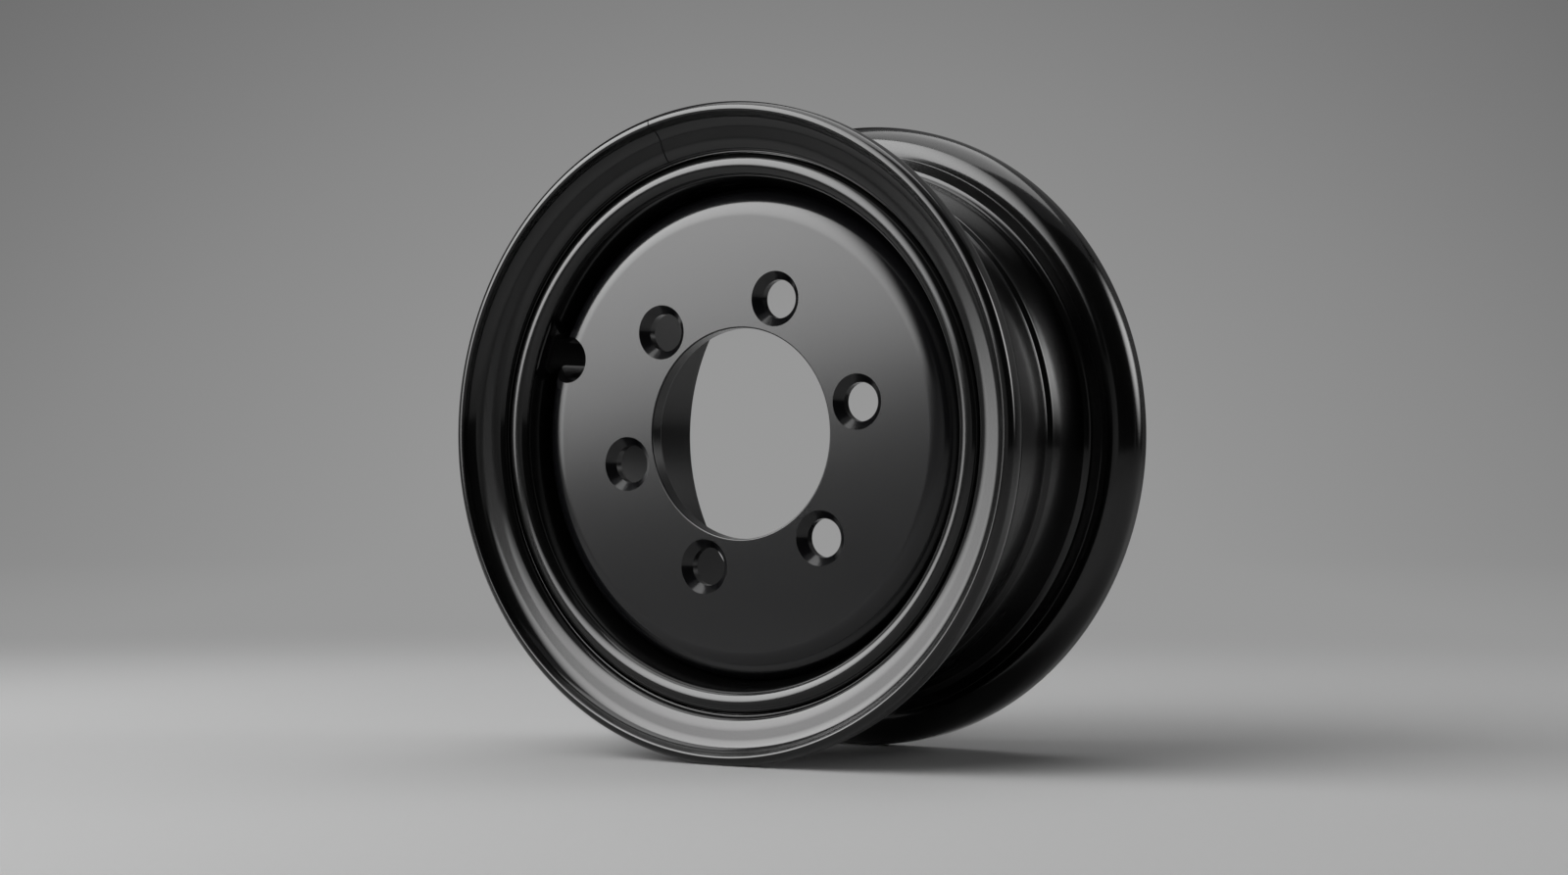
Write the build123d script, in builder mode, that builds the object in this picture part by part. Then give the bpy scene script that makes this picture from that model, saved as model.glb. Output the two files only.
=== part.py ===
from build123d import *
import os
from math import cos, radians, sin, tan

# Steel wheel rim for a small forklift truck, in millimetres.
# The wheel turns about Y. Its outer face looks toward -Y and +Z is up.
# The origin is the wheel's centre: on the axis, midway between the two flange lips.
# Each ring is a section drawn as (radius, place along the axis) and turned about Y.

# Rim size
seat_diameter = 203.2  # bead seat, carried on to the flange face
between_flanges = 76.2  # from the tyre side of one flange to that of the other
flange_height = 17.5  # from the bead seat to the top of the flange
seat_taper = 5.0  # degrees, both seats fall toward the middle of the rim

# Flange section, the same curves on both sides of the rim
heel_radius = 3.0  # hollow between seat and flange
ridge_rise = 3.2  # the low ridge over the heel ends this far above the heel's curve
ridge_step = 0.5  # the heel stands this far inside the flange face
face_straight = 1.4  # straight part of the flange face, from the ridge to the curl
top_straight = 2.7  # straight part of the flange's top, from the curl to the lip
lip_thickness = 5.7  # radial thickness at the rounded lip
throat_straight = 0.2  # straight part inside the lip, before the hollow

# Rim base
base_drop = 3.6  # from the bead seat down to the flat base
base_wall = 8.0  # thickness of the base, whose bore takes the disc's skirt
rear_root = 5.9  # thickness of the fixed flange at its root
rear_seat_width = 23.2  # from the flange face to the step down to the base
seat_step_slope = 45.0  # degrees, the step's ramp
seat_step_round = 1.2

# Gutter at the front edge of the rim base, which holds the side ring
gutter_depth = 1.4  # below the flat base
gutter_width = 12.3
gutter_wall = 6.3  # from the nose's front to the gutter's front wall
gutter_round = 0.9
nose_height = 4.1  # above the gutter's floor
nose_wall = 7.3  # radial thickness of the rounded nose
nose_proud = 2.7  # the nose stands this far in front of the ring's flange
lead_in_depth = 12.2  # from the nose's front to where the base's bore starts

# Side ring, seated in the gutter
ring_root = 4.4  # thickness of the ring's flange at its root
ring_clearance = 0.2  # between the ring's foot and the gutter's floor
ring_overhang_clearance = 0.3  # between the ring's edge and the nose, seen as a fine line
ring_end_clearance = 0.6  # between the foot's end and the gutter's rear wall
ring_edge = 0.5  # small bevels along the ring's foot
split_gap = 0.4  # the sprung ring's ends, closed together
split_turn = -55.0  # degrees from the valve hole round to the split

# Wheel disc, drawn from plate as a deep cup
plate_thickness = 6.0
disc_setback = 6.2  # from the nose's front back to the disc's outer face
shoulder_radius = 14.9  # outside of the bend between face and skirt
skirt_clearance = 0.1  # between the skirt and the base's bore, all round
skirt_past_weld = 4.4  # the skirt's rear edge stands this far past the weld
edge_bevel = 0.8

# Hub fixing
hub_bore = 76.6
bolt_circle = 101.6
bolt_count = 6
bolt_hole = 14.0
countersink_diameter = 20.0
countersink_angle = 90.0
first_hole_angle = 12.5  # degrees from +X toward +Z

# Valve: a hole through the disc's shoulder, a relief beside it and a slot through both walls
valve_angle = 160.0  # degrees from +X toward +Z
valve_hole = 17.4
valve_hole_inset = 7.6  # from the skirt's outside in to the hole's axis
relief_width = 15.0
relief_depth = 3.0  # into the wall of the base's bore
relief_setback = 2.5  # from the disc's face back to the relief's front end
slot_width = 15.0
slot_length = 30.0
slot_land = 14.6  # metal left between the gutter and the slot

# Weld between the skirt's end and the rear of the base
weld_leg = 5.0
weld_bulge = 0.9

# Flange places worked out from the sizes above
seat_radius = seat_diameter / 2
seat_fall = tan(radians(seat_taper))
flange_face = between_flanges / 2
flange_radius = seat_radius + flange_height
heel_face = flange_face - ridge_step
ridge_height = heel_radius + ridge_rise
ridge_radius = seat_radius + ridge_height
ridge_round = ridge_step / 2
curl_radius = flange_height - ridge_height - face_straight
lip_round = 0.49 * lip_thickness
lip_inner = flange_radius - lip_thickness
flange_depth = curl_radius + top_straight + lip_round
lip_place = flange_face + flange_depth

# Rim base places
base_radius = seat_radius - base_drop
base_inner = base_radius - base_wall
rear_face = flange_face + rear_root
rear_seat_start = flange_face - rear_seat_width
rear_seat_low = seat_radius - rear_seat_width * seat_fall
ramp_start = rear_seat_start - (rear_seat_low - base_radius) / tan(radians(seat_step_slope))

# Gutter and side ring places
ring_front = -(flange_face + ring_root)
nose_front = ring_front - nose_proud
gutter_floor = base_radius - gutter_depth
gutter_front = nose_front + gutter_wall
gutter_rear = gutter_front + gutter_width
nose_outer = gutter_floor + nose_height
nose_inner = nose_outer - nose_wall
nose_round = 0.49 * nose_wall
nose_back = nose_front + nose_wall / 2
ring_bore = gutter_floor + ring_clearance
overhang_bore = nose_outer + ring_overhang_clearance
foot_end = gutter_rear - ring_end_clearance
foot_end_radius = seat_radius - (flange_face + foot_end) * seat_fall

# Disc and weld places
face_place = nose_front + disc_setback
disc_back = face_place + plate_thickness
skirt_outer = base_inner - skirt_clearance
skirt_inner = skirt_outer - plate_thickness
weld_radius = skirt_outer + weld_leg
weld_end = rear_face + weld_leg
skirt_end = weld_end + skirt_past_weld

# Valve places
valve_side = Vector(cos(radians(valve_angle)), 0, sin(radians(valve_angle)))
valve_hole_radius = skirt_outer - valve_hole_inset
relief_radius = base_inner + relief_depth - relief_width / 2
relief_start = face_place + relief_setback
slot_place = gutter_rear + slot_land + slot_length / 2
slot_front_round = slot_place - (slot_length - slot_width) / 2
slot_reach = seat_radius - skirt_inner
front_clear = lip_place + 1.0  # cuts that open to the front run this far


def corner(section, radius, place):
    """The corner of a drawn section nearest to a radius and a place along the axis."""
    return section.vertices().sort_by_distance((radius, place))[0]


def flange_corners(side):
    """Corners of the tyre side of a flange, from its heel to its lip. side is -1 front, 1 rear."""
    return [
        (seat_radius - ridge_step * seat_fall, side * heel_face),
        (ridge_radius, side * heel_face),
        (ridge_radius, side * flange_face),
        (flange_radius, side * flange_face),
        (flange_radius, side * lip_place),
        (lip_inner, side * lip_place),
    ]


def round_flange(section, side, root):
    """Curves of one flange: heel, ridge, curl, lip and the hollow on its outer side."""
    fillet(corner(section, seat_radius, side * heel_face), heel_radius)
    fillet(corner(section, ridge_radius, side * heel_face), ridge_round)
    fillet(corner(section, flange_radius, side * flange_face), curl_radius)
    fillet(corner(section, flange_radius, side * lip_place), lip_round)
    fillet(corner(section, lip_inner, side * lip_place), lip_round)
    throat_radius = flange_depth - root - lip_round - throat_straight
    fillet(corner(section, lip_inner, side * (flange_face + root)), throat_radius)


def front_plane(place):
    """A plane across the axis as seen from the front, X to the right and Z up."""
    return Plane(origin=(0, place, 0), x_dir=(1, 0, 0), z_dir=(0, -1, 0))


def valve_plane(radius, place):
    """A plane square to the valve's radial direction, its X along the wheel's axis."""
    return Plane(origin=valve_side * radius + Vector(0, place, 0), x_dir=(0, 1, 0), z_dir=valve_side)


# Rim base: one rolled section with the gutter, the flat base, the rear seat and the fixed flange
with BuildPart() as rim_base:
    with BuildSketch(Plane.XY) as base_section:
        with BuildLine():
            Polyline(
                (nose_inner, nose_front),
                (nose_outer, nose_front),
                (nose_outer, gutter_front),
                (gutter_floor, gutter_front),
                (gutter_floor, gutter_rear),
                (base_radius, gutter_rear),
                (base_radius, ramp_start),
                (rear_seat_low, rear_seat_start),
                *flange_corners(1),
                (lip_inner, rear_face),
                (base_inner, rear_face),
                (base_inner, nose_front + lead_in_depth),
                (nose_inner, nose_back),
                close=True,
            )
        make_face()
        fillet(corner(base_section, nose_inner, nose_front), nose_round)
        fillet(corner(base_section, nose_outer, nose_front), nose_round)
        chamfer(corner(base_section, nose_outer, gutter_front), ring_edge)
        fillet(corner(base_section, gutter_floor, gutter_front), gutter_round)
        fillet(corner(base_section, gutter_floor, gutter_rear), ring_edge)
        chamfer(corner(base_section, base_radius, gutter_rear), ring_edge)
        fillet(corner(base_section, base_radius, ramp_start), seat_step_round)
        fillet(corner(base_section, rear_seat_low, rear_seat_start), seat_step_round)
        round_flange(base_section, 1, rear_root)
    revolve(axis=Axis.Y)

    # Slot that lets the valve in from the tyre
    with BuildSketch(valve_plane(skirt_inner, slot_place)):
        SlotOverall(slot_length, slot_width)
    extrude(amount=slot_reach, mode=Mode.SUBTRACT)

    # Relief for the valve's stem in the wall of the bore, from beside the valve hole to the slot
    with BuildSketch(front_plane(slot_front_round)):
        with Locations(Vector(valve_side.X, valve_side.Z) * relief_radius):
            Circle(relief_width / 2)
    extrude(amount=slot_front_round - relief_start, mode=Mode.SUBTRACT)
rim_base.part.label = "rim_base"

# Side ring: the front flange and its bead seat in one sprung ring, with its foot in the gutter
with BuildPart() as side_ring:
    with BuildSketch(Plane.XY) as ring_section:
        with BuildLine():
            Polyline(
                (ring_bore, gutter_front),
                (overhang_bore, gutter_front),
                (overhang_bore, ring_front),
                (lip_inner, ring_front),
                *reversed(flange_corners(-1)),
                (foot_end_radius, foot_end),
                (ring_bore, foot_end),
                close=True,
            )
        make_face()
        chamfer(corner(ring_section, ring_bore, gutter_front), gutter_round)
        chamfer(corner(ring_section, overhang_bore, ring_front), ring_edge)
        chamfer(corner(ring_section, foot_end_radius, foot_end), ring_edge)
        chamfer(corner(ring_section, ring_bore, foot_end), ring_edge)
        round_flange(ring_section, -1, ring_root)
    revolve(axis=Axis.Y)

    # The ring is split once, so that it can be sprung over the nose
    with BuildSketch(Plane.XZ):
        with PolarLocations((ring_bore + flange_radius) / 2, 1, start_angle=valve_angle + split_turn):
            Rectangle(2 * flange_height, split_gap)
    extrude(amount=front_clear, mode=Mode.SUBTRACT)
side_ring.part.label = "side_ring"

# Wheel disc: flat face, rounded shoulder and a skirt that runs to the rear of the rim
with BuildPart() as wheel_disc:
    with BuildSketch(Plane.XY) as disc_section:
        with BuildLine():
            Polyline(
                (hub_bore / 2, face_place),
                (skirt_outer, face_place),
                (skirt_outer, skirt_end),
                (skirt_inner, skirt_end),
                (skirt_inner, disc_back),
                (hub_bore / 2, disc_back),
                close=True,
            )
        make_face()
        chamfer(corner(disc_section, hub_bore / 2, face_place), edge_bevel)
        chamfer(corner(disc_section, hub_bore / 2, disc_back), edge_bevel)
        chamfer(corner(disc_section, skirt_outer, skirt_end), edge_bevel)
        chamfer(corner(disc_section, skirt_inner, skirt_end), edge_bevel)
        fillet(corner(disc_section, skirt_outer, face_place), shoulder_radius)
        fillet(corner(disc_section, skirt_inner, disc_back), shoulder_radius - plate_thickness)
    revolve(axis=Axis.Y)

    # Countersunk holes for the wheel bolts
    with Locations(front_plane(face_place)):
        with PolarLocations(bolt_circle / 2, bolt_count, start_angle=first_hole_angle):
            CounterSinkHole(
                radius=bolt_hole / 2,
                counter_sink_radius=countersink_diameter / 2,
                depth=2 * plate_thickness,
                counter_sink_angle=countersink_angle,
            )

    # Slot that lets the valve in, in line with the one in the base
    with BuildSketch(valve_plane(skirt_inner, slot_place)):
        SlotOverall(slot_length, slot_width)
    extrude(amount=slot_reach, both=True, mode=Mode.SUBTRACT)

    # Valve hole, from the slot out through the shoulder
    with BuildSketch(front_plane(slot_front_round)):
        with Locations(Vector(valve_side.X, valve_side.Z) * valve_hole_radius):
            Circle(valve_hole / 2)
    extrude(amount=slot_front_round + front_clear, mode=Mode.SUBTRACT)
wheel_disc.part.label = "wheel_disc"

# Fillet weld round the rear end of the skirt
with BuildPart() as disc_weld:
    with BuildSketch(Plane.XY):
        with BuildLine():
            Line((skirt_outer, weld_end), (skirt_outer, rear_face))
            Line((skirt_outer, rear_face), (weld_radius, rear_face))
            SagittaArc((weld_radius, rear_face), (skirt_outer, weld_end), -weld_bulge)
        make_face()
    revolve(axis=Axis.Y)
disc_weld.part.label = "disc_weld"

os.makedirs("parts", exist_ok=True)
for piece in (rim_base, side_ring, wheel_disc, disc_weld):
    export_step(piece.part, f"parts/{piece.part.label}.step")
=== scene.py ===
import bpy
import math
from mathutils import Matrix, Vector


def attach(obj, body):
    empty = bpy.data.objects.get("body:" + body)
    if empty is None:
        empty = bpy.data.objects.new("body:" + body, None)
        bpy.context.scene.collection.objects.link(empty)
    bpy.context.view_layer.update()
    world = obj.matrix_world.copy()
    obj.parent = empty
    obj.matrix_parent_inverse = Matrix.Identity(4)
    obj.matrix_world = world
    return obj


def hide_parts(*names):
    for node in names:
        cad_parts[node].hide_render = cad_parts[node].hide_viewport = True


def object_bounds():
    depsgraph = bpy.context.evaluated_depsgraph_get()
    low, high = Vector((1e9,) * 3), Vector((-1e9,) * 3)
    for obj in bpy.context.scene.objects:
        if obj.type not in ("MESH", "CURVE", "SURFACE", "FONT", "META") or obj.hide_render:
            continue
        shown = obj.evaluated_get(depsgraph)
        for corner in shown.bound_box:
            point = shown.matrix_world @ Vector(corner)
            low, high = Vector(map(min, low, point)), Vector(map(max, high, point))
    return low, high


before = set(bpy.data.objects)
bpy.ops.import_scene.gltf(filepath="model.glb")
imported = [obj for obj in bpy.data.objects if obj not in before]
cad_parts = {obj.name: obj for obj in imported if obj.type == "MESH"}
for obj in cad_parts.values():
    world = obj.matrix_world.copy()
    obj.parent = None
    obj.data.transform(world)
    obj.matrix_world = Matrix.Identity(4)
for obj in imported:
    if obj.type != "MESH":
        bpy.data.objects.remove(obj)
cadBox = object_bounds()  # the model's box before anything is added
floorHeight = cadBox[0][2]  # the wheel stands on its lowest point
print("frame loaded:", sorted(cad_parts))

mm = 0.001  # one millimetre in metres


# sRGB hex to the linear colour that a shader socket takes
def linearColour(hexCode):
    parts = [int(hexCode[i:i + 2], 16) / 255 for i in (1, 3, 5)]
    return [part / 12.92 if part <= 0.04045 else ((part + 0.055) / 1.055) ** 2.4 for part in parts] + [1.0]


# adds one node: settings are properties or input values, links are input sockets and what feeds them
def addNode(tree, kind, settings=None, links=None):
    node = tree.nodes.new(kind)
    for key, value in (settings or {}).items():
        if isinstance(key, str) and hasattr(node, key):
            setattr(node, key, value)
        else:
            node.inputs[key].default_value = value
    for key, source in (links or {}).items():
        tree.links.new(source, node.inputs[key])
    return node


# an empty material with its output node
def newMaterial(name):
    material = bpy.data.materials.new(name)
    material.use_nodes = True
    tree = material.node_tree
    tree.nodes.clear()
    output = addNode(tree, "ShaderNodeOutputMaterial")
    return material, tree, output


# a number remapped from one range to another
def remap(tree, source, fromLow, fromHigh, toLow, toHigh):
    settings = {"From Min": fromLow, "From Max": fromHigh, "To Min": toLow, "To Max": toHigh}
    return addNode(tree, "ShaderNodeMapRange", settings, {"Value": source}).outputs["Result"]


# coordinates that run round the wheel: a direction round the axle, the place along it, and the radius
def turnedCoordinates(tree, acrossScale, aroundScale):
    place = addNode(tree, "ShaderNodeTexCoord").outputs["Object"]
    flat = addNode(tree, "ShaderNodeVectorMath", {"operation": "MULTIPLY", 1: (1, 0, 1)}, {0: place})
    radius = addNode(tree, "ShaderNodeVectorMath", {"operation": "LENGTH"}, {0: flat.outputs[0]})
    around = addNode(tree, "ShaderNodeVectorMath", {"operation": "NORMALIZE"}, {0: flat.outputs[0]})
    spread = addNode(tree, "ShaderNodeVectorMath", {"operation": "MULTIPLY", 1: (aroundScale,) * 3},
                     {0: around.outputs[0]})
    along = addNode(tree, "ShaderNodeVectorMath", {"operation": "MULTIPLY", 1: (0, acrossScale, 0)},
                    {0: place})
    vector = addNode(tree, "ShaderNodeVectorMath", {"operation": "ADD"},
                     {0: spread.outputs[0], 1: along.outputs[0]})
    depth = addNode(tree, "ShaderNodeMath", {"operation": "MULTIPLY", 1: acrossScale},
                    {0: radius.outputs["Value"]})
    return place, vector.outputs[0], depth.outputs[0]


# The channel for the valve, in millimetres: its middle line along the axle (X and Z), how far round it
# the thin paint reaches, where it starts, and over what length it fades at its side and its ends.
channelSizes = {"middle": (-77.3, 28.1), "reach": 11.2, "start": -38.9, "extraRoughness": 0.5,
                "sideFade": 0.5, "endFade": 1.5}
# the sum of both noises that gives the smoothest and the roughest paint
mottleRange = {"low": 0.7, "high": 1.3}


# Baked black enamel: a satin film of about 60 microns, deep black, with a thin glossy skin.
# The eye sees soft broad light from the film and a sharper edge of the same light from the skin.
# The base colours are darker than real black enamel, whose linear value is some hundredths: these are
# 0.001 to 0.002, because they were matched under a strong key. The film itself hardly reflects.
def enamelPaint(name, look):
    material, tree, output = newMaterial(name)
    place, around, depth = turnedCoordinates(tree, 1 / (look["lineSpacing"] * mm), look["lineRepeat"])
    cloud = addNode(tree, "ShaderNodeTexNoise", {"Scale": 1 / (look["cloudWidth"] * mm), "Detail": 3.0},
                    {"Vector": place})
    grain = addNode(tree, "ShaderNodeTexNoise", {"Scale": 1 / (look["grainWidth"] * mm), "Detail": 2.0},
                    {"Vector": place})
    lines = addNode(tree, "ShaderNodeTexNoise", {"noise_dimensions": "4D", "Scale": 1.0, "Detail": 2.0},
                    {"Vector": around, "W": depth})
    colour = addNode(tree, "ShaderNodeMix", {"data_type": "RGBA", 6: linearColour(look["deepColour"]),
                     7: linearColour(look["thinColour"])}, {0: cloud.outputs["Fac"]})
    mottle = addNode(tree, "ShaderNodeMath", {"operation": "ADD"},
                     {0: cloud.outputs["Fac"], 1: lines.outputs["Fac"]})
    rough = remap(tree, mottle.outputs[0], mottleRange["low"], mottleRange["high"],
                  look["roughness"] - look["roughnessSwing"], look["roughness"] + look["roughnessSwing"])
    lineBump = addNode(tree, "ShaderNodeBump", {"Strength": 1.0, "Distance": look["lineHeight"] * mm},
                       {"Height": lines.outputs["Fac"]})
    grainBump = addNode(tree, "ShaderNodeBump", {"Strength": 1.0, "Distance": look["grainHeight"] * mm},
                        {"Height": grain.outputs["Fac"], "Normal": lineBump.outputs["Normal"]})
    # the spray hardly reaches into the valve's channel, so the paint there is thin and matt
    sizes = channelSizes
    fromValve = addNode(tree, "ShaderNodeVectorMath",
                        {"operation": "SUBTRACT", 1: (sizes["middle"][0] * mm, 0, sizes["middle"][1] * mm)},
                        {0: place})
    sideways = addNode(tree, "ShaderNodeVectorMath", {"operation": "MULTIPLY", 1: (1, 0, 1)},
                       {0: fromValve.outputs[0]})
    distance = addNode(tree, "ShaderNodeVectorMath", {"operation": "LENGTH"}, {0: sideways.outputs[0]})
    near = remap(tree, distance.outputs["Value"], (sizes["reach"] + sizes["sideFade"]) * mm,
                 sizes["reach"] * mm, 0.0, 1.0)
    along = addNode(tree, "ShaderNodeSeparateXYZ", {}, {"Vector": place})
    behind = remap(tree, along.outputs["Y"], sizes["start"] * mm,
                   (sizes["start"] + sizes["endFade"]) * mm, 0.0, 1.0)
    before = remap(tree, along.outputs["Y"], (look["channelEnd"] - sizes["endFade"]) * mm,
                   look["channelEnd"] * mm, 1.0, 0.0)
    between = addNode(tree, "ShaderNodeMath", {"operation": "MULTIPLY"}, {0: behind, 1: before})
    inside = addNode(tree, "ShaderNodeMath", {"operation": "MULTIPLY"}, {0: near, 1: between.outputs[0]})
    skin = remap(tree, inside.outputs[0], 0.0, 1.0, look["skinWeight"], 0.0)
    dull = addNode(tree, "ShaderNodeMath", {"operation": "MULTIPLY_ADD", 1: sizes["extraRoughness"]},
                   {0: inside.outputs[0], 2: rough})
    shader = addNode(tree, "ShaderNodeBsdfPrincipled",
                     {"IOR": 1.5, "Metallic": 0.0, "Specular IOR Level": look["filmGloss"],
                      "Coat Roughness": look["skinRoughness"], "Coat IOR": 1.5},
                     {"Base Color": colour.outputs[2], "Roughness": dull.outputs[0], "Coat Weight": skin,
                      "Normal": grainBump.outputs["Normal"], "Coat Normal": grainBump.outputs["Normal"]})
    tree.links.new(shader.outputs["BSDF"], output.inputs["Surface"])
    return material


# gives a node's own object one finished material, in every slot
def paintNode(nodeName, material):
    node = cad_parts[nodeName]
    if not node.material_slots:
        node.data.materials.append(material)
    for slot in node.material_slots:
        slot.material = material
    print("painted", nodeName, "with", material.name)


# The pressed disc: sprayed over shot-blasted plate, so its light has a soft edge and a fine grain.
# A blasted grain is really some tenths of a millimetre wide, and drawn coarser here so that it shows.
discLook = {
    "deepColour": "#030304", "thinColour": "#060607",
    "roughness": 0.30, "roughnessSwing": 0.03, "filmGloss": 0.06, "skinWeight": 0.9, "skinRoughness": 0.15,
    "cloudWidth": 38, "grainWidth": 0.9, "grainHeight": 0.0015, "channelEnd": -30,  # millimetres
    "lineSpacing": 6.0, "lineRepeat": 2.0, "lineHeight": 0.002,
}
# The rolled base: drawn through rollers, so a faint run of lines goes round it.
# Roll lines are really finer than a millimetre, and drawn coarser here so that they show.
rolledLook = {
    "deepColour": "#030303", "thinColour": "#060606",
    "roughness": 0.26, "roughnessSwing": 0.03, "filmGloss": 0.06, "skinWeight": 0.9, "skinRoughness": 0.11,
    "cloudWidth": 45, "grainWidth": 1.4, "grainHeight": 0.0004, "channelEnd": 22,
    "lineSpacing": 2.6, "lineRepeat": 1.5, "lineHeight": 0.0006,
}
ringLook = dict(rolledLook, roughness=0.25, lineSpacing=3.1)
weldLook = dict(rolledLook, roughness=0.32, grainWidth=0.8, grainHeight=0.006)

# Sizes of the turned sections in millimetres. They follow the frame's solids, except for the ring's face,
# lip and bore, the nose and the disc's shoulder, which are shaped as the light on the real ones shows.
sectionSizes = {
    "seatRadius": 101.6, "seatFall": 0.0875, "flangeFace": 38.1, "flangeHeight": 17.5,
    "heelRound": 3.0, "heelStep": 0.5, "ridgeHeight": 6.2, "curlRound": 9.9, "topStraight": 2.7,
    "lipThickness": 5.7, "lipRound": 2.79, "throatStraight": 0.2, "rearRoot": 5.9,
    "baseRadius": 98.0, "baseBore": 90.0, "rearSeatWidth": 23.2, "stepRound": 1.2, "smallEdge": 0.5,
    "gutterDepth": 1.4, "gutterWidth": 12.3, "gutterRound": 0.9, "noseFront": -45.2, "noseWidth": 6.3,
    "noseHeight": 4.7, "noseWall": 8.5, "noseRound": 4.2, "leadInDepth": 12.2,
    "ringLand": (102.0, -43.25), "ringInner": (102.2, -45.7), "ringInnerRound": 3.4,
    "ringCrown": (105.9, -47.2), "ringCrownRound": 9.0, "ringHollow": (113.7, -48.15), "ringHollowRound": 6.0,
    "lipCrest": 115.6, "crestRound": 1.0,
    "discFace": -39.0, "plateThickness": 6.0, "skirtOuter": 89.9, "skirtEnd": 53.4, "hubBore": 38.3,
    "shoulderRound": 11.0, "plateEdge": 0.5,
    "footClearance": 0.2, "footEndClearance": 0.6, "overhangClearance": 0.3,
    "turnSteps": 288, "arcStep": 6,  # steps of the turned form, and degrees between points of a rounding
    "smoothAngle": 30,  # degrees, edges sharper than this stay crisp
}


# tyre side of a flange from its heel to its lip, as corners: radius, place, rounding
def flangeCorners(side):
    sizes = sectionSizes
    face = sizes["flangeFace"]
    ridge = sizes["seatRadius"] + sizes["ridgeHeight"]
    top = sizes["seatRadius"] + sizes["flangeHeight"]
    lipPlace = face + sizes["curlRound"] + sizes["topStraight"] + sizes["lipRound"]
    return [
        (sizes["seatRadius"] - sizes["heelStep"] * sizes["seatFall"], side * (face - sizes["heelStep"]),
         sizes["heelRound"]),
        (ridge, side * (face - sizes["heelStep"]), sizes["heelStep"] / 2),
        (ridge, side * face, 0),
        (top, side * face, sizes["curlRound"]),
        (top, side * lipPlace, sizes["lipRound"]),
        (top - sizes["lipThickness"], side * lipPlace, sizes["lipRound"]),
    ]


# the hollow on the outer side of the rear flange
def throatCorner():
    sizes = sectionSizes
    root = sizes["rearRoot"]
    throatRound = sizes["curlRound"] + sizes["topStraight"] - root - sizes["throatStraight"]
    return (sizes["seatRadius"] + sizes["flangeHeight"] - sizes["lipThickness"],
            sizes["flangeFace"] + root, throatRound)


# corners of the rim base's section, from the nose over the gutter, the base and the flange to the bore
def baseCorners():
    sizes = sectionSizes
    floorRadius = sizes["baseRadius"] - sizes["gutterDepth"]
    noseTop = floorRadius + sizes["noseHeight"]
    noseBottom = noseTop - sizes["noseWall"]
    gutterFront = sizes["noseFront"] + sizes["noseWidth"]
    gutterRear = gutterFront + sizes["gutterWidth"]
    seatStart = sizes["flangeFace"] - sizes["rearSeatWidth"]
    seatLow = sizes["seatRadius"] - sizes["rearSeatWidth"] * sizes["seatFall"]
    rearFace = sizes["flangeFace"] + sizes["rearRoot"]
    return [
        (noseBottom, sizes["noseFront"], sizes["noseRound"]),
        (noseTop, sizes["noseFront"], sizes["noseRound"]),
        (noseTop, gutterFront, sizes["smallEdge"]),
        (floorRadius, gutterFront, sizes["gutterRound"]),
        (floorRadius, gutterRear, sizes["smallEdge"]),
        (sizes["baseRadius"], gutterRear, sizes["smallEdge"]),
        (sizes["baseRadius"], seatStart - (seatLow - sizes["baseRadius"]), sizes["stepRound"]),
        (seatLow, seatStart, sizes["stepRound"]),
        *flangeCorners(1),
        throatCorner(),
        (sizes["baseBore"], rearFace, 0),
        (sizes["baseBore"], sizes["noseFront"] + sizes["leadInDepth"], 0),
        (noseBottom, sizes["noseFront"] + sizes["noseWall"] / 2, 0),
    ]


# corners of the side ring's section, from its foot over the nose and round the flange
def ringCorners():
    sizes = sectionSizes
    floorRadius = sizes["baseRadius"] - sizes["gutterDepth"]
    footRadius = floorRadius + sizes["footClearance"]
    overhang = floorRadius + sizes["noseHeight"] + sizes["overhangClearance"]
    gutterFront = sizes["noseFront"] + sizes["noseWidth"]
    footEnd = gutterFront + sizes["gutterWidth"] - sizes["footEndClearance"]
    land, inner = sizes["ringLand"], sizes["ringInner"]
    crown, hollow = sizes["ringCrown"], sizes["ringHollow"]
    lipPlace = sizes["flangeFace"] + sizes["curlRound"] + sizes["topStraight"] + sizes["lipRound"]
    return [
        (footRadius, gutterFront, sizes["gutterRound"]),
        (overhang, gutterFront, 0),
        (overhang, land[1], sizes["smallEdge"] / 2),
        (*land, 0),
        (*inner, sizes["ringInnerRound"]),
        (*crown, sizes["ringCrownRound"]),
        (*hollow, sizes["ringHollowRound"]),
        (sizes["lipCrest"], -lipPlace, sizes["crestRound"]),
        *reversed(flangeCorners(-1)[:-1]),
        (sizes["seatRadius"] - (sizes["flangeFace"] + footEnd) * sizes["seatFall"], footEnd,
         sizes["smallEdge"]),
        (footRadius, footEnd, sizes["smallEdge"]),
    ]


# corners of the pressed disc's section, from its face over the shoulder and along the skirt
def discCorners():
    sizes = sectionSizes
    back = sizes["discFace"] + sizes["plateThickness"]
    skirtInner = sizes["skirtOuter"] - sizes["plateThickness"]
    return [
        (sizes["skirtOuter"], sizes["discFace"], sizes["shoulderRound"]),
        (sizes["skirtOuter"], sizes["skirtEnd"], sizes["plateEdge"]),
        (skirtInner, sizes["skirtEnd"], sizes["plateEdge"]),
        (skirtInner, back, sizes["shoulderRound"] - sizes["plateThickness"]),
        (sizes["hubBore"], back, sizes["plateEdge"]),
        (sizes["hubBore"], sizes["discFace"], sizes["plateEdge"]),
    ]


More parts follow.
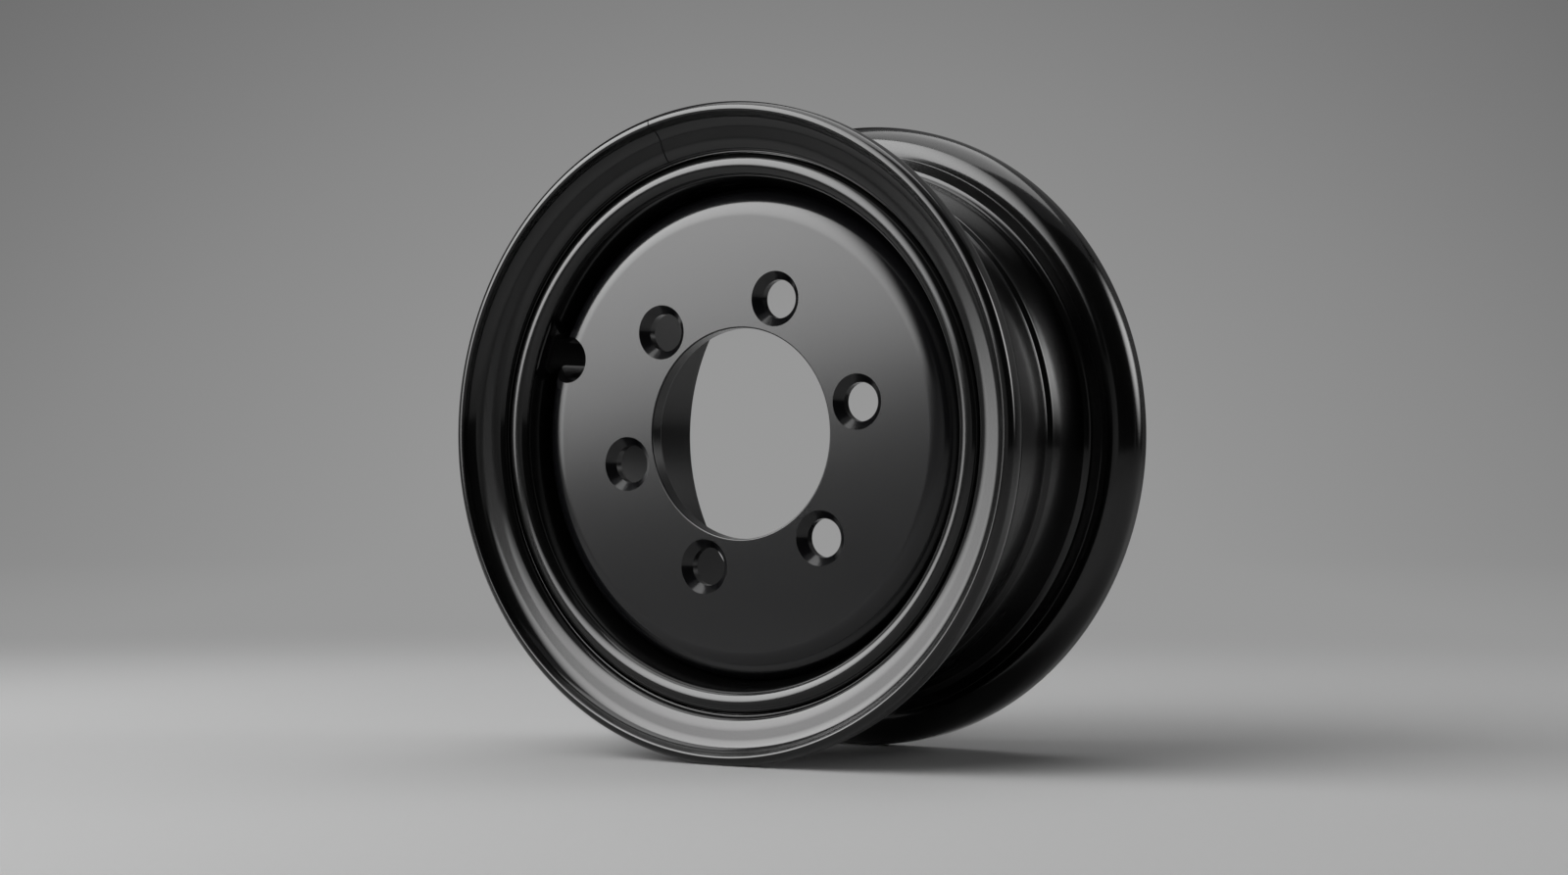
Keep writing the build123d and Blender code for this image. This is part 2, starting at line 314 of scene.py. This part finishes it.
# the corners of a section joined up, with each rounding as an arc
def roundedOutline(corners):
    points = []
    for index, (radius, place, rounding) in enumerate(corners):
        here = Vector((radius, place))
        toLast = (Vector(corners[index - 1][:2]) - here).normalized()
        toNext = (Vector(corners[(index + 1) % len(corners)][:2]) - here).normalized()
        if not rounding:
            points.append(here)
            continue
        halfAngle = toLast.angle(toNext) / 2
        centre = here + (toLast + toNext).normalized() * rounding / math.sin(halfAngle)
        start = here + toLast * rounding / math.tan(halfAngle) - centre
        turn = start.angle_signed(here + toNext * rounding / math.tan(halfAngle) - centre)
        steps = max(2, math.ceil(abs(math.degrees(turn)) / sectionSizes["arcStep"]))
        for step in range(steps + 1):
            points.append(centre + Matrix.Rotation(-turn * step / steps, 2) @ start)
    return points


# draws a section point by point and spins it round the axle
def turnedPiece(name, corners):
    outline = roundedOutline(corners)
    bpy.ops.object.select_all(action="DESELECT")
    bpy.ops.mesh.primitive_plane_add(size=mm)
    piece = bpy.context.active_object
    piece.name = name
    bpy.ops.object.mode_set(mode="EDIT")
    bpy.ops.mesh.select_mode(type="VERT")
    bpy.ops.mesh.select_all(action="SELECT")
    bpy.ops.mesh.merge(type="CENTER")
    bpy.ops.transform.translate(value=(outline[0].x * mm, outline[0].y * mm, 0))
    for last, point in zip(outline, outline[1:] + outline[:1]):
        move = (point - last) * mm
        bpy.ops.mesh.extrude_vertices_move(TRANSFORM_OT_translate={"value": (move.x, move.y, 0)})
    bpy.ops.mesh.select_all(action="SELECT")
    bpy.ops.mesh.remove_doubles(threshold=0.001 * mm)
    bpy.ops.mesh.select_all(action="SELECT")
    bpy.ops.mesh.spin(steps=sectionSizes["turnSteps"], angle=math.tau, center=(0, 0, 0), axis=(0, 1, 0))
    bpy.ops.mesh.select_all(action="SELECT")
    bpy.ops.mesh.remove_doubles(threshold=0.001 * mm)
    bpy.ops.mesh.normals_make_consistent(inside=False)
    bpy.ops.object.mode_set(mode="OBJECT")
    return piece


# cuts a shape away from a piece and removes the cutter
def cutAway(piece, cutter):
    difference = piece.modifiers.new("cut", "BOOLEAN")
    difference.operation = "DIFFERENCE"
    difference.solver = "EXACT"
    difference.object = cutter
    bpy.ops.object.select_all(action="DESELECT")
    piece.select_set(True)
    bpy.context.view_layer.objects.active = piece
    bpy.ops.object.modifier_apply(modifier="cut")
    bpy.data.objects.remove(cutter)


# The valve's slot through base and skirt with the relief and the hole for its stem, the split in the
# side ring, and the countersunk holes for the wheel bolts.
cutSizes = {
    "valveTurn": 160, "slotLength": 30.0, "slotWidth": 15.0, "slotPlace": 3.0, "slotDepth": 20.0,
    "reliefRadius": 85.5, "reliefWidth": 15.0, "reliefStart": -36.5, "reliefEnd": -4.5,
    "valveHole": 17.4, "valveHoleRadius": 82.3, "valveHoleStart": -55.0, "valveHoleEnd": -4.5,
    "boltCircle": 50.8, "boltCount": 6, "firstBolt": 12.5, "boltHole": 7.0, "countersink": 10.0,
    "splitTurn": 105, "splitGap": 0.4,  # turns in degrees from +X toward +Z, the rest in millimetres
    "lead": 1.0,  # how far the bolt cutter starts in front of the disc
    "slotSteps": 64, "roundSteps": 96,  # corners of the cutters' circles
}


# the way out from the axle at a turn from +X toward +Z
def outward(turn):
    return Vector((math.cos(math.radians(turn)), 0, math.sin(math.radians(turn))))


def slotCutter():
    sizes = cutSizes
    way = outward(sizes["valveTurn"])
    middle = (way * sectionSizes["baseBore"] + Vector((0, sizes["slotPlace"], 0))) * mm
    bpy.ops.mesh.primitive_cylinder_add(vertices=sizes["slotSteps"], radius=sizes["slotWidth"] / 2 * mm,
                                        depth=sizes["slotDepth"] * mm, location=middle,
                                        rotation=way.to_track_quat("Z", "X").to_euler())
    cutter = bpy.context.active_object
    bpy.ops.object.transform_apply()
    stretch = (sizes["slotLength"] - sizes["slotWidth"]) / 2 * mm
    for vertex in cutter.data.vertices:
        vertex.co.y += stretch if vertex.co.y > middle.y else -stretch
    return cutter


# a round bar along the axle, out at the valve's side
def valveBar(radius, width, start, end):
    middle = (outward(cutSizes["valveTurn"]) * radius + Vector((0, (start + end) / 2, 0))) * mm
    bpy.ops.mesh.primitive_cylinder_add(vertices=cutSizes["roundSteps"], radius=width / 2 * mm,
                                        depth=(end - start) * mm, location=middle,
                                        rotation=(math.pi / 2, 0, 0))
    return bpy.context.active_object


# all the countersunk bolt holes as one cutter: a cone at the face that runs into a round bar
def boltCutter():
    sizes = cutSizes
    face = sectionSizes["discFace"]
    bars = []
    for count in range(sizes["boltCount"]):
        way = outward(sizes["firstBolt"] + count * 360 / sizes["boltCount"]) * sizes["boltCircle"]
        bpy.ops.object.select_all(action="DESELECT")
        bpy.ops.mesh.primitive_circle_add(vertices=sizes["roundSteps"], fill_type="NGON",
                                          radius=(sizes["countersink"] + sizes["lead"]) * mm,
                                          location=(way + Vector((0, face - sizes["lead"], 0))) * mm,
                                          rotation=(math.pi / 2, 0, 0))
        bar = bpy.context.active_object
        bpy.ops.object.transform_apply()
        bpy.ops.object.mode_set(mode="EDIT")
        bpy.ops.mesh.select_mode(type="FACE")
        bpy.ops.mesh.select_all(action="SELECT")
        cone = sizes["countersink"] + sizes["lead"] - sizes["boltHole"]
        shrink = sizes["boltHole"] / (sizes["countersink"] + sizes["lead"])
        bpy.ops.mesh.extrude_region_move(TRANSFORM_OT_translate={"value": (0, cone * mm, 0)})
        bpy.ops.transform.resize(value=(shrink, 1, shrink))
        bpy.ops.mesh.extrude_region_move(
            TRANSFORM_OT_translate={"value": (0, 2 * sectionSizes["plateThickness"] * mm, 0)})
        bpy.ops.mesh.select_all(action="SELECT")
        bpy.ops.mesh.normals_make_consistent(inside=False)
        bpy.ops.object.mode_set(mode="OBJECT")
        bars.append(bar)
    bpy.ops.object.select_all(action="DESELECT")
    for bar in bars:
        bar.select_set(True)
    bpy.context.view_layer.objects.active = bars[0]
    bpy.ops.object.join()
    return bpy.context.active_object


def splitCutter():
    sizes = sectionSizes
    depth = sizes["flangeFace"] * 2
    middle = (outward(cutSizes["splitTurn"]) * (sizes["seatRadius"] + sizes["flangeHeight"] / 2)
              - Vector((0, depth / 2, 0))) * mm
    bpy.ops.mesh.primitive_cube_add(size=mm, location=middle,
                                    rotation=(0, -math.radians(cutSizes["splitTurn"]), 0))
    cutter = bpy.context.active_object
    cutter.scale = (sizes["flangeHeight"] * 2, depth, cutSizes["splitGap"])
    bpy.ops.object.transform_apply()
    return cutter


# smooth faces with crisp edges, then the piece takes the node's place
def standFor(piece, nodeName, material):
    bpy.ops.object.select_all(action="DESELECT")
    piece.select_set(True)
    bpy.context.view_layer.objects.active = piece
    bpy.ops.object.shade_smooth_by_angle(angle=math.radians(sectionSizes["smoothAngle"]))
    piece.modifiers.new("evenFaces", "WEIGHTED_NORMAL").keep_sharp = True
    bpy.ops.object.modifier_apply(modifier="evenFaces")
    piece.data.materials.append(material)
    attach(piece, "root")
    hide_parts(nodeName)
    print("modelled", piece.name, len(piece.data.polygons), "faces")


rimBase = turnedPiece("rolledRimBase", baseCorners())
cutAway(rimBase, slotCutter())
cutAway(rimBase, valveBar(cutSizes["reliefRadius"], cutSizes["reliefWidth"], cutSizes["reliefStart"],
                          cutSizes["reliefEnd"]))
standFor(rimBase, "rim_base", enamelPaint("EnamelOnRolledSteel", rolledLook))

sideRing = turnedPiece("springSideRing", ringCorners())
cutAway(sideRing, splitCutter())
standFor(sideRing, "side_ring", enamelPaint("EnamelOnSpringRing", ringLook))

wheelDisc = turnedPiece("pressedWheelDisc", discCorners())
cutAway(wheelDisc, slotCutter())
cutAway(wheelDisc, valveBar(cutSizes["valveHoleRadius"], cutSizes["valveHole"], cutSizes["valveHoleStart"],
                            cutSizes["valveHoleEnd"]))
cutAway(wheelDisc, boltCutter())
standFor(wheelDisc, "wheel_disc", enamelPaint("EnamelOnPressedPlate", discLook))

paintNode("disc_weld", enamelPaint("EnamelOnWeldBead", weldLook))

# The studio floor runs into a curved wall all round, in pale grey paper. Near the wheel the floor is paper
# lit by the lamps; further out, floor and wall show painted light, a glow set by place.
stageLook = {
    "flatRadius": 2.3, "coveRadius": 1.4, "coveSteps": 24, "wallHeight": 2.4, "sides": 192,  # metres
    "paperColour": "#8d8d8d",
    "fadeStart": 0.42, "fadeEnd": 0.95,  # where the floor under the lamps turns into the painted light of floor and wall, which fades by place
    "wallTurn": 32.3,  # degrees, the painted light on the wall is brightest on the part that faces this way
    "glowHeight": -0.25, "glowAcross": 0.445, "glowUp": 0.53,  # how fast the painted light on the wall darkens, per metre
    # painted light: shades of the glow, from its brightest place outward
    "glow": [(0.00, "#9a9a9a"), (0.22, "#969696"), (0.32, "#909090"), (0.45, "#888888"), (0.60, "#7b7b7b"),
             (0.76, "#6c6c6c"), (1.00, "#666666")],
}


# Paper that takes lamp light and shadow near the wheel and for diffuse bounces; further out, camera and
# glossy rays see painted light instead, a glow that stands in for how the wall is lit.
def paperWithPaintedLight():
    material, tree, output = newMaterial("PaperBackdropWithPaintedLight")
    place = addNode(tree, "ShaderNodeTexCoord").outputs["Object"]
    paper = addNode(tree, "ShaderNodeBsdfDiffuse", {"Color": linearColour(stageLook["paperColour"])})
    turn = math.radians(stageLook["wallTurn"])
    sideways = Vector((math.cos(turn), math.sin(turn), 0)) * stageLook["glowAcross"]
    across = addNode(tree, "ShaderNodeVectorMath", {"operation": "DOT_PRODUCT", 1: sideways}, {0: place})
    height = addNode(tree, "ShaderNodeSeparateXYZ", {}, {"Vector": place})
    up = addNode(tree, "ShaderNodeMath",
                 {"operation": "MULTIPLY_ADD", 1: stageLook["glowUp"],
                  2: -stageLook["glowHeight"] * stageLook["glowUp"]}, {0: height.outputs["Z"]})
    offset = addNode(tree, "ShaderNodeCombineXYZ", {}, {"X": across.outputs["Value"], "Y": up.outputs[0]})
    away = addNode(tree, "ShaderNodeVectorMath", {"operation": "LENGTH"}, {0: offset.outputs[0]})
    ramp = addNode(tree, "ShaderNodeValToRGB", {}, {"Fac": away.outputs["Value"]})
    stops = ramp.color_ramp.elements
    while len(stops) < len(stageLook["glow"]):
        stops.new(0.5)
    for stop, (reach, shade) in zip(stops, stageLook["glow"]):
        stop.position = reach
        stop.color = linearColour(shade)
    # painted light: the wall's brightness drawn as a glow
    paintedWallLight = addNode(tree, "ShaderNodeEmission", {"Strength": 1.0}, {"Color": ramp.outputs["Color"]})
    rays = addNode(tree, "ShaderNodeLightPath")
    seen = addNode(tree, "ShaderNodeMath", {"operation": "ADD"},
                   {0: rays.outputs["Is Camera Ray"], 1: rays.outputs["Is Glossy Ray"]})
    seenAll = addNode(tree, "ShaderNodeMath", {"operation": "ADD", "use_clamp": True},
                      {0: seen.outputs[0], 1: rays.outputs["Is Transmission Ray"]})
    fromAxle = addNode(tree, "ShaderNodeVectorMath", {"operation": "LENGTH"}, {0: place})
    fade = addNode(tree, "ShaderNodeMapRange",
                   {"interpolation_type": "SMOOTHSTEP", "From Min": stageLook["fadeStart"],
                    "From Max": stageLook["fadeEnd"]}, {"Value": fromAxle.outputs["Value"]})
    both = addNode(tree, "ShaderNodeMath", {"operation": "MULTIPLY"},
                   {0: seenAll.outputs[0], 1: fade.outputs["Result"]})
    mixed = addNode(tree, "ShaderNodeMixShader", {},
                    {0: both.outputs[0], 1: paper.outputs[0], 2: paintedWallLight.outputs[0]})
    tree.links.new(mixed.outputs[0], output.inputs["Surface"])
    return material


def buildStage():
    bpy.ops.object.select_all(action="DESELECT")
    bpy.ops.mesh.primitive_circle_add(vertices=stageLook["sides"], radius=stageLook["flatRadius"],
                                      fill_type="NGON", location=(0, 0, floorHeight))
    stage = bpy.context.active_object
    stage.name = "backdrop"
    bpy.ops.object.mode_set(mode="EDIT")
    bpy.ops.mesh.select_mode(type="EDGE")
    bpy.ops.mesh.select_all(action="SELECT")
    radius = stageLook["flatRadius"]
    height = 0.0
    stepAngle = math.pi / 2 / stageLook["coveSteps"]
    for step in range(1, stageLook["coveSteps"] + 2):
        bend = min(step, stageLook["coveSteps"]) * stepAngle
        nextRadius = stageLook["flatRadius"] + stageLook["coveRadius"] * math.sin(bend)
        nextHeight = stageLook["coveRadius"] * (1 - math.cos(bend))
        if step > stageLook["coveSteps"]:
            nextHeight += stageLook["wallHeight"]
        bpy.ops.mesh.extrude_edges_move(
            TRANSFORM_OT_translate={"value": (0, 0, nextHeight - height)})
        growth = nextRadius / radius
        bpy.ops.transform.resize(value=(growth, growth, 1))
        radius, height = nextRadius, nextHeight
    bpy.ops.mesh.select_all(action="SELECT")
    bpy.ops.mesh.normals_make_consistent(inside=True)
    bpy.ops.object.mode_set(mode="OBJECT")
    bpy.ops.object.transform_apply(location=True, rotation=True, scale=True)
    bpy.ops.object.shade_smooth()
    stage.data.materials.append(paperWithPaintedLight())
    print("backdrop built, radius", round(radius, 2))


buildStage()

# Soft boxes, by azimuth from the front toward the right, elevation, distance and size. Roll turns
# one about its own normal. Each is a cloth panel, brightest at its hot spot, in metres from its middle.
# It is even up to the plateau's share of its reach and fades from there to its edge share.
# The key is stronger than a plain level: where it falls full, a written colour comes out 1.5 to 1.8
# times as bright. The top box adds about a quarter of the light on the floor.
softBoxes = {
    "keySoftBox": {"azimuth": -28, "elevation": 30, "distance": 1.9, "width": 3.67, "height": 1.875,
                   "roll": -16, "brightness": 8.2, "hotSpot": (0.39, 0.32), "reach": (1.8, 2.2),
                   "plateau": 0.25, "edgeShare": 0.0},
    "sideSoftBox": {"azimuth": 129, "elevation": 20, "distance": 1.9, "width": 1.5, "height": 1.6,
                    "brightness": 5.5, "hotSpot": (0.0, 0.0), "reach": (0.75, 0.8), "plateau": 0.25,
                    "edgeShare": 0.0},
    "topSoftBox": {"azimuth": -120, "elevation": 82, "distance": 1.9, "width": 2.5, "height": 1.5,
                   "brightness": 2.6, "hotSpot": (0.0, 0.0), "reach": (1.8, 1.8), "plateau": 0.3,
                   "edgeShare": 0.6},
}


# the cloth of a soft box: light that is even round the hot spot and falls off smoothly from there
def softBoxCloth(name, box):
    material, tree, output = newMaterial(name + "Cloth")
    place = addNode(tree, "ShaderNodeTexCoord").outputs["Object"]
    off = addNode(tree, "ShaderNodeVectorMath", {"operation": "SUBTRACT", 1: (*box["hotSpot"], 0)},
                  {0: place})
    scaled = addNode(tree, "ShaderNodeVectorMath",
                     {"operation": "DIVIDE", 1: (*box["reach"], 1)}, {0: off.outputs[0]})
    away = addNode(tree, "ShaderNodeVectorMath", {"operation": "LENGTH"}, {0: scaled.outputs[0]})
    share = addNode(tree, "ShaderNodeMapRange",
                    {"interpolation_type": "SMOOTHSTEP", "From Min": box["plateau"], "From Max": 1.0,
                     "To Min": box["brightness"], "To Max": box["brightness"] * box["edgeShare"]},
                    {"Value": away.outputs["Value"]})
    glow = addNode(tree, "ShaderNodeEmission", {}, {"Strength": share.outputs["Result"]})
    back = addNode(tree, "ShaderNodeEmission", {"Strength": 0.0})
    side = addNode(tree, "ShaderNodeNewGeometry")
    mixed = addNode(tree, "ShaderNodeMixShader", {}, {0: side.outputs["Backfacing"], 1: glow.outputs[0],
                                                      2: back.outputs[0]})
    tree.links.new(mixed.outputs[0], output.inputs["Surface"])
    return material


# The panel faces the wheel. Its own X runs toward smaller azimuths and its Y runs up.
def placeSoftBox(name, box):
    azimuth = math.radians(box["azimuth"])
    elevation = math.radians(box["elevation"])
    way = Vector((math.sin(azimuth) * math.cos(elevation), -math.cos(azimuth) * math.cos(elevation),
                  math.sin(elevation)))
    bpy.ops.object.select_all(action="DESELECT")
    bpy.ops.mesh.primitive_plane_add(size=1)
    panel = bpy.context.active_object
    panel.name = name
    bpy.ops.object.mode_set(mode="EDIT")
    bpy.ops.mesh.select_all(action="SELECT")
    bpy.ops.transform.resize(value=(box["width"], box["height"], 1))
    bpy.ops.object.mode_set(mode="OBJECT")
    panel.location = way * box["distance"]
    roll = Matrix.Rotation(math.radians(box.get("roll", 0)), 3, "Z")
    panel.rotation_euler = ((-way).to_track_quat("Z", "Y").to_matrix() @ roll).to_euler()
    panel.visible_camera = False
    panel.visible_shadow = False
    panel.data.materials.append(softBoxCloth(name, box))
    print("placed", name)


for name, box in softBoxes.items():
    placeSoftBox(name, box)

# Black flags beside the wheel, which keep the room out of the enamel's reflections as in a product studio.
flagCloth = {"brightness": 0.02, "hotSpot": (0.0, 0.0), "reach": (1.0, 1.0), "plateau": 0.5, "edgeShare": 1.0}
blackFlags = {
    "rightFlag": {"azimuth": 67, "elevation": 26, "distance": 1.5, "width": 2.4, "height": 1.9},
    "leftFlag": {"azimuth": -118, "elevation": 20, "distance": 1.5, "width": 1.5, "height": 1.6},
}
for name, flag in blackFlags.items():
    placeSoftBox(name, {**flag, **flagCloth})

# The room's own dim light, which fills the shadows.
roomLook = {"colour": "#8c8c8e", "strength": 0.8}


def lightRoom():
    world = bpy.data.worlds.new("studioRoom")
    bpy.context.scene.world = world
    world.use_nodes = True
    tree = world.node_tree
    tree.nodes.clear()
    sky = addNode(tree, "ShaderNodeBackground", {"Color": linearColour(roomLook["colour"]),
                                                "Strength": roomLook["strength"]})
    output = addNode(tree, "ShaderNodeOutputWorld")
    tree.links.new(sky.outputs[0], output.inputs["Surface"])


lightRoom()

# The camera stands where the photograph was taken from, a little below the axle.
cameraLook = {"place": (0.5995, -0.9550, -0.0121), "turn": 32.355, "tilt": 0.558,
              "focalPixels": 3085, "imageWidth": 1600, "sensorWidth": 36}


def placeCamera():
    bpy.ops.object.camera_add(location=cameraLook["place"],
                              rotation=(math.radians(90 + cameraLook["tilt"]), 0,
                                        math.radians(cameraLook["turn"])))
    camera = bpy.context.active_object
    camera.name = "photoCamera"
    camera.data.sensor_fit = "HORIZONTAL"
    camera.data.sensor_width = cameraLook["sensorWidth"]
    camera.data.lens = cameraLook["focalPixels"] * cameraLook["sensorWidth"] / cameraLook["imageWidth"]
    bpy.context.scene.camera = camera
    print("camera placed, lens", round(camera.data.lens, 2))


placeCamera()

bpy.context.scene.view_settings.view_transform = "Standard"
